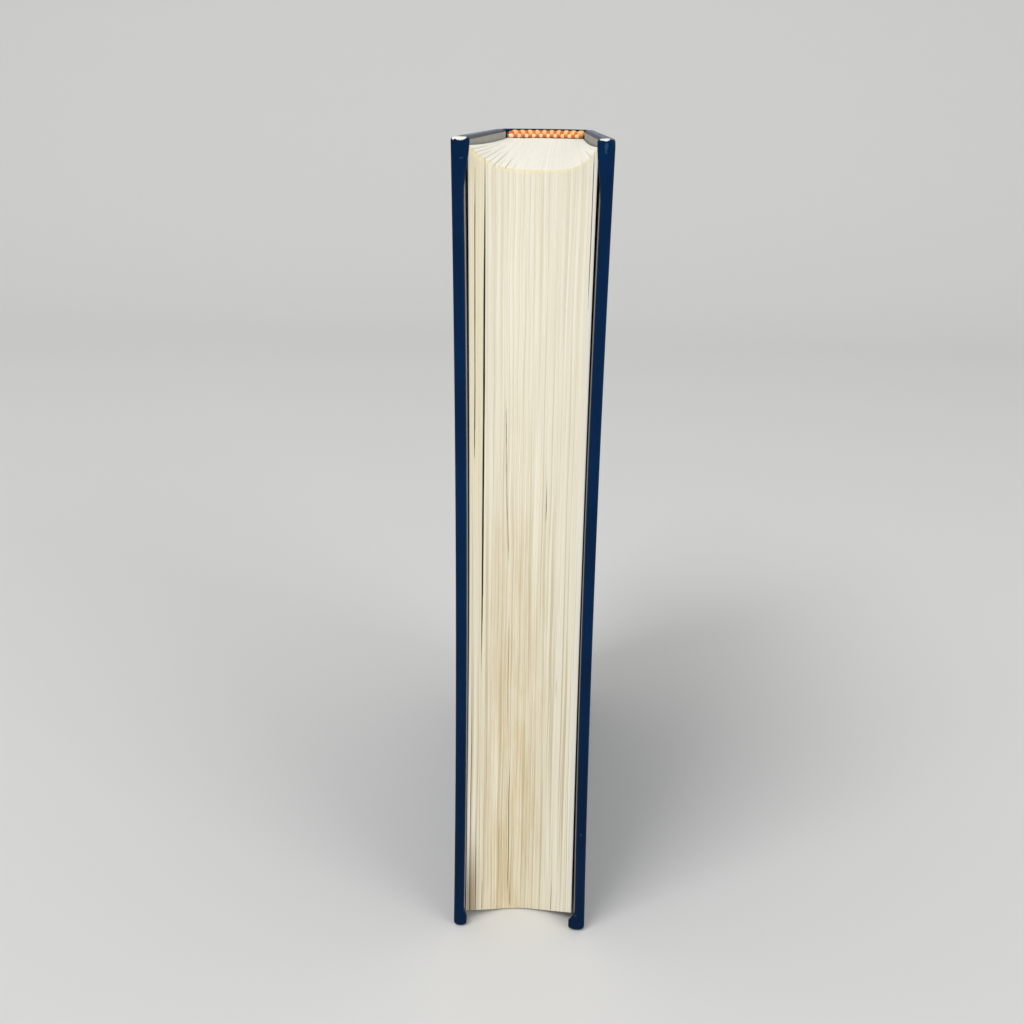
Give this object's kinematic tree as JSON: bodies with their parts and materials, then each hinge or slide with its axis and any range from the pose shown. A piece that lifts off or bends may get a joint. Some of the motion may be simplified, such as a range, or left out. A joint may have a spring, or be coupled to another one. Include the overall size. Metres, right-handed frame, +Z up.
{
  "type": "hardback book",
  "caption": "Case-bound hardback book standing on its tail: hinged cover boards, rounded hollow-back spine, page block with a concave fore-edge, woven head and tail bands.",
  "frame": {"origin": "under the middle of the book, on the surface it stands on", "axes": "+Z up from tail to head, -Y towards the fore-edge and +Y towards the spine, +X through the thickness towards the back cover"},
  "size_m": [0.0408, 0.1641, 0.235],
  "materials": {
    "pages": "uncoated cream book paper, cut edges",
    "endpaper": "smooth white endpaper",
    "mull": "open-weave starched cotton, glued",
    "lining_paper": "brown kraft paper",
    "band_thread": "yellow and orange-red thread on a cotton tape",
    "card": "flexible spine card",
    "grey_board": "dense grey board",
    "covering": "deep navy coated cover paper, fine grain, semi-gloss, worn white at the head corners"
  },
  "bodies": {
    "block": {"text_block": "pages", "front_flyleaf": "endpaper", "back_flyleaf": "endpaper", "spine_mull": "mull", "spine_lining": "lining_paper", "spine_inlay": "card", "spine_covering": "covering", "head_band": "band_thread", "tail_band": "band_thread"},
    "front_cover": {"front_board": "grey_board", "front_covering": "covering", "front_mull_wing": "mull", "front_pastedown": "endpaper"},
    "back_cover": {"back_board": "grey_board", "back_covering": "covering", "back_mull_wing": "mull", "back_pastedown": "endpaper"}
  },
  "joints": [
    {"name": "front_cover_hinge", "type": "hinge", "parent": "block", "child": "front_cover", "pos_m": [-0.016, 0.07135, 0.1175], "axis": [0, 0, -1], "range_deg": [0, 180]},
    {"name": "back_cover_hinge", "type": "hinge", "parent": "block", "child": "back_cover", "pos_m": [0.016, 0.07135, 0.1175], "axis": [0, 0, 1], "range_deg": [0, 180]}
  ]
}
